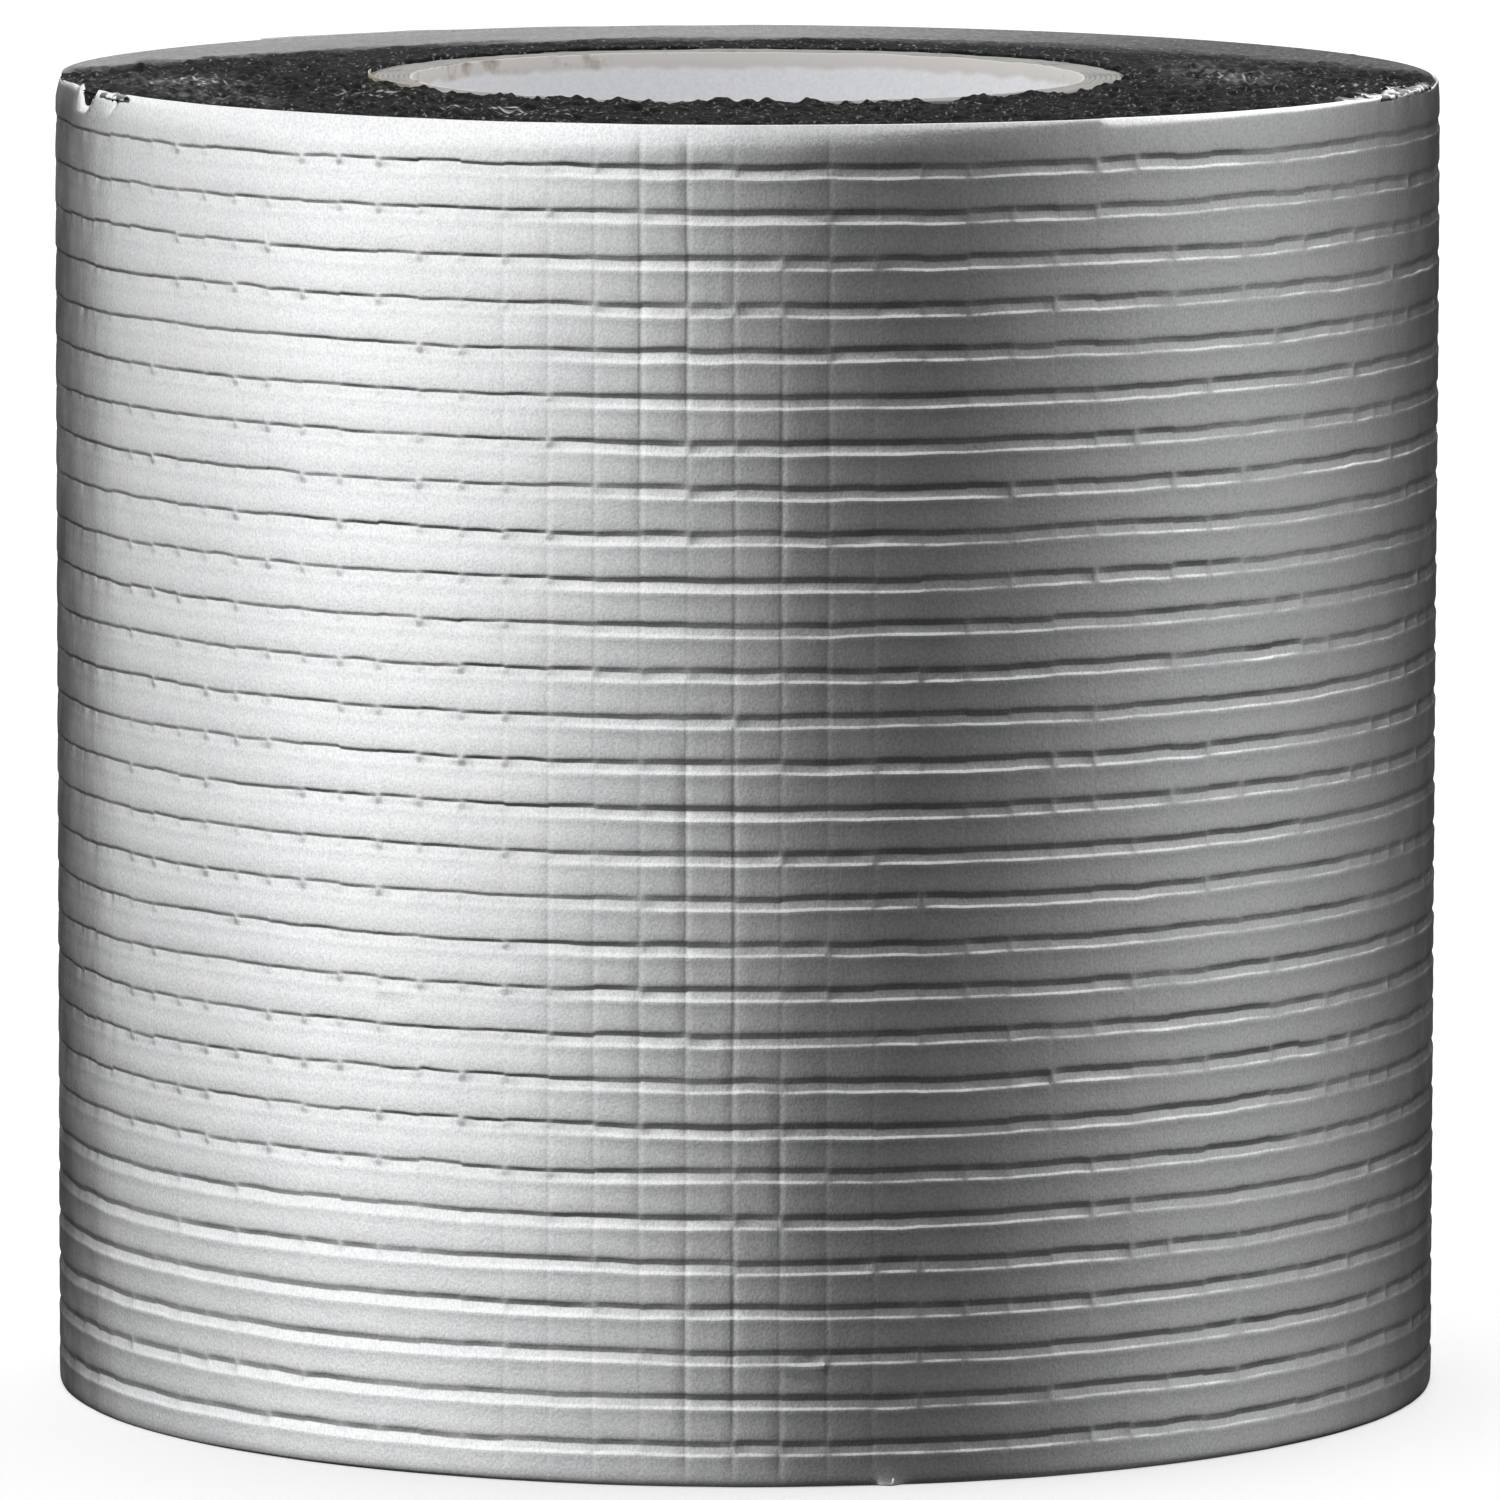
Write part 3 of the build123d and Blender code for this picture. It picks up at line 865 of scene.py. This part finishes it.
# The chain that the loose end's pieces follow: the last of the wound strip, then the loose arc.
ROOT_SWEEP = math.degrees(ROOT_LAP / OUTER_RADIUS)
ROOT_ARC = WOUND[-1]._replace(start=WOUND[-1].start + WOUND[-1].sweep - ROOT_SWEEP, sweep=ROOT_SWEEP)
CHAIN = [ROOT_ARC, LOOSE]
CHAIN_START = WOUND_LENGTH - ROOT_LAP
CLEARANCE = 0.01            # between the layers of the loose end


def butyl_piece(name, start, end):
    """Compound of the loose end with the scrim film on it: its outside takes the foil's relief."""
    distance = foil_columns(CHAIN_START + start, CHAIN_START + end)
    points, outward = along(CHAIN, distance - CHAIN_START)
    height, offset = foil_relief(distance)
    height = np.clip(height, 0.35, HEIGHT - 0.35)
    section = foil_section(points, outward, height, offset - FOIL - CLEARANCE, LINER - STRIP)
    return swept(name, section, butyl_material, flip=True)


def liner_piece(name, start, end):
    """Release film on the inside of the loose end: a thin slab with slightly wavy edges."""
    distance = np.linspace(start, end, 15)
    points, outward = along(CHAIN, distance)
    share = np.linspace(1, 0, 24)[None, :]
    wave = 0.12 + 0.08 * noise(distance / 6.0, distance * 0 + 0.5, 60)[:, None]
    height = wave + (HEIGHT - 2 * wave) * share
    ripple = 0.03 * noise(distance[:, None] / 9.0, height / 14.0, 61)
    outside = LINER - STRIP - CLEARANCE + 0 * ripple
    loop = [stand_off(points, outward, outside, height)[:, ::-1],
            stand_off(points, outward, outside - LINER + ripple, height)]
    return swept(name, np.concatenate(loop, 1), liner_material, flip=True)


# Where the loose end's pieces meet: at the start, half way between hinges, and at the tip.
stops = [0.0] + [ROOT_LAP + LOOSE_SPACE * (n + 0.5) for n in range(len(HINGES))]
stops.append(ROOT_LAP + arc_length(LOOSE))
bodies = ["roll"] + LOOSE_BODIES


for n in range(len(stops) - 1):
    start, end = stops[n], stops[n + 1]
    tip = n == len(stops) - 2
    label = "tip" if tip else f"bend_{n + 1}"
    made = (
        (foil_piece(f"loose_foil_{label}", CHAIN, start, end, CHAIN_START), "embossed_foil", ["foil"]),
        (butyl_piece(f"loose_butyl_{label}", start, end), "butyl", ["butyl", "scrim_film"]),
        (liner_piece(f"loose_liner_{label}", start, end), "release_liner", ["release_liner"]),
    )
    for piece, slot, layers in made:
        if tip:
            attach(piece, bodies[n])
        else:
            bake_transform(piece)
        if n:
            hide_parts(*[f"loose_end_{n}_{layer}" for layer in layers])


# ---------------- stage

def studio():
    """Soft studio, as light from each direction. By azimuth: a broad bright wall on the left, a
    dark gap right of the camera and a weaker wall on the right. By height: a bright ceiling that
    comes lower on the left and behind, and dark below. The camera sees plain white behind."""
    world = bpy.data.worlds.new("studio")
    bpy.context.scene.world = world
    world.use_nodes = True
    tree = world.node_tree
    tree.nodes.clear()
    where = node(tree, "ShaderNodeTexCoord")
    parts = node(tree, "ShaderNodeSeparateXYZ", {0: (where, "Generated")})
    towards = node(tree, "ShaderNodeMath", {0: (parts, "Y"), 1: -1}, operation="MULTIPLY")
    azimuth = node(tree, "ShaderNodeMath", {0: (parts, "X"), 1: (towards, "Value")}, operation="ARCTAN2")
    turn = node(tree, "ShaderNodeMapRange", {"Value": (azimuth, "Value")},
                From_Min=-math.pi, From_Max=math.pi)

    def by_azimuth(table, low, high):
        """A number that follows a table of azimuth and value, scaled to low..high."""
        share = node(tree, "ShaderNodeValToRGB", {"Fac": (turn, "Result")})
        ramp(share, *[((a + 180) / 360, (v - low) / (high - low)) for a, v in table])
        return node(tree, "ShaderNodeMapRange", {"Value": (share, "Color")}, To_Min=low, To_Max=high)

    def step_at(start, width):
        """Rises from 0 to 1 as height passes from start to start + width."""
        end = node(tree, "ShaderNodeMath", {0: (start, "Result"), 1: width}, operation="ADD")
        return node(
            tree, "ShaderNodeMapRange",
            {"Value": (parts, "Z"), "From Min": (start, "Result"), "From Max": (end, "Value")},
            interpolation_type="SMOOTHSTEP",
        )

    def product(first, second):
        return node(tree, "ShaderNodeMath", {0: first, 1: second}, operation="MULTIPLY")

    walls = by_azimuth(WALLS, 0.0, 1.5)
    ceiling = by_azimuth(CEILING, 0.0, 1.5)
    above = step_at(by_azimuth(CEILING_START, 0.0, 1.0), 0.2)
    below = step_at(by_azimuth(DARK_START, -1.0, 0.0), 0.22)
    dark = by_azimuth(DARK_LEVEL, 0.0, 1.0)
    kept = node(tree, "ShaderNodeMapRange", {"Value": (below, "Result"), "To Min": (dark, "Result")})
    level = node(tree, "ShaderNodeMapRange", {"Value": (parts, "Z")}, From_Min=-0.4, From_Max=0.2)
    shade = node(tree, "ShaderNodeValToRGB", {"Fac": (level, "Result")})
    brightest = 1.2
    ramp(shade, *[((z + 0.4) / 0.6, v / brightest) for z, v in SHADE])
    fading = node(tree, "ShaderNodeMapRange", {"Value": (shade, "Color")}, To_Max=brightest)
    low = by_azimuth(LOW_LEVEL, 0.0, 1.0)
    near_floor = node(tree, "ShaderNodeMapRange", {"Value": (parts, "Z"), "To Min": (low, "Result")},
                      From_Min=-0.16, From_Max=-0.122)
    lit = product((walls, "Result"), (fading, "Result"))
    lit = product((lit, "Value"), (near_floor, "Result"))
    lit = product((lit, "Value"), (kept, "Result"))
    light = node(tree, "ShaderNodeMapRange",
                 {"Value": (above, "Result"), "To Min": (lit, "Value"), "To Max": (ceiling, "Result")})
    glow = node(tree, "ShaderNodeBackground", {"Strength": (light, "Result")}, Color=(1, 1, 1, 1))
    plain = node(tree, "ShaderNodeBackground", Color=(1, 1, 1, 1))
    seen = node(tree, "ShaderNodeLightPath")
    either = node(tree, "ShaderNodeMixShader", {0: (seen, "Is Camera Ray"), 1: (glow, 0), 2: (plain, 0)})
    node(tree, "ShaderNodeOutputWorld", {0: (either, 0)})


# Tables by azimuth from the camera's side, in degrees, right being positive: the walls' and the
# ceiling's brightness, the height where the ceiling starts, the height below which it is dark, and
# what is left there. Heights are the sine of the elevation.
WALLS = (
    (-180, 0.02), (-165, 0.03), (-152, 0.07), (-143, 0.22), (-132, 0.56), (-115, 0.74), (-95, 0.88),
    (-75, 1.10), (-55, 1.06), (-40, 0.92), (-28, 0.72), (-14, 0.56), (-4, 0.38), (4, 0.25), (12, 0.17),
    (22, 0.10), (34, 0.10), (46, 0.16), (60, 0.27), (76, 0.40), (92, 0.42), (108, 0.35), (124, 0.23),
    (140, 0.11), (160, 0.03), (180, 0.02),
)
CEILING = (
    (-180, 1.1), (-120, 1.05), (-30, 1.15), (-8, 0.86), (12, 0.6), (45, 0.66), (75, 0.9), (95, 1.3),
    (135, 1.5), (180, 1.1),
)
CEILING_START = (
    (-180, 0.0), (-110, 0.06), (-20, 0.07), (2, 0.18), (25, 0.26), (110, 0.22), (150, 0.05), (180, 0.0),
)
DARK_START = ((-180, -0.5), (-100, -0.64), (-30, -0.62), (5, -0.5), (30, -0.46), (110, -0.46), (180, -0.5))
DARK_LEVEL = (
    (-180, 0.0), (-112, 0.0), (-85, 0.08), (-40, 0.16), (-10, 0.38), (10, 0.66), (40, 0.62), (75, 0.42),
    (120, 0.28), (180, 0.1),
)
# What is left of the walls near the floor, where the left one darkens.
LOW_LEVEL = ((-180, 0.6), (-125, 0.62), (-100, 0.78), (-60, 0.84), (-20, 0.8), (-10, 1.0), (180, 1.0))
# How the walls' brightness changes with height.
SHADE = ((-0.4, 0.4), (-0.2, 0.72), (-0.165, 0.84), (-0.14, 0.95), (-0.12, 1.0), (-0.08, 1.04), (0.2, 1.14))


def camera():
    """The camera, low and far off with a long lens, and turned a tenth of a degree."""
    data = bpy.data.cameras.new("camera")
    data.lens = 357.5
    data.clip_end = 50
    obj = bpy.data.objects.new("camera", data)
    bpy.context.scene.collection.objects.link(obj)
    place = Vector((0, -1.694, 0.2745))
    aim = Vector((0.00046, 0, 0.0722))
    roll = 0.0019
    turn = (aim - place).to_track_quat("-Z", "Y")
    obj.matrix_world = Matrix.Translation(place) @ turn.to_matrix().to_4x4() @ Matrix.Rotation(roll, 4, "Z")
    bpy.context.scene.camera = obj


def floor():
    """A plain pale floor, mat and faintly glowing, that the foil doesn't reflect."""
    material, tree, _ = new_material("floor")
    shader = node(tree, "ShaderNodeBsdfPrincipled", Roughness=0.9, Base_Color=linear("#f4f4f4"),
                  Emission_Color=(1, 1, 1, 1), Emission_Strength=0.22)
    node(tree, "ShaderNodeOutputMaterial", {0: (shader, 0)})
    side = 3000.0
    points = [(-side, -side, 0), (side, -side, 0), (side, side, 0), (-side, side, 0)]
    obj = make_mesh("floor", points, [[0, 1, 2, 3]], material, smooth=False)
    obj.visible_glossy = False


studio()
camera()
floor()
bpy.context.scene.view_settings.view_transform = "Standard"
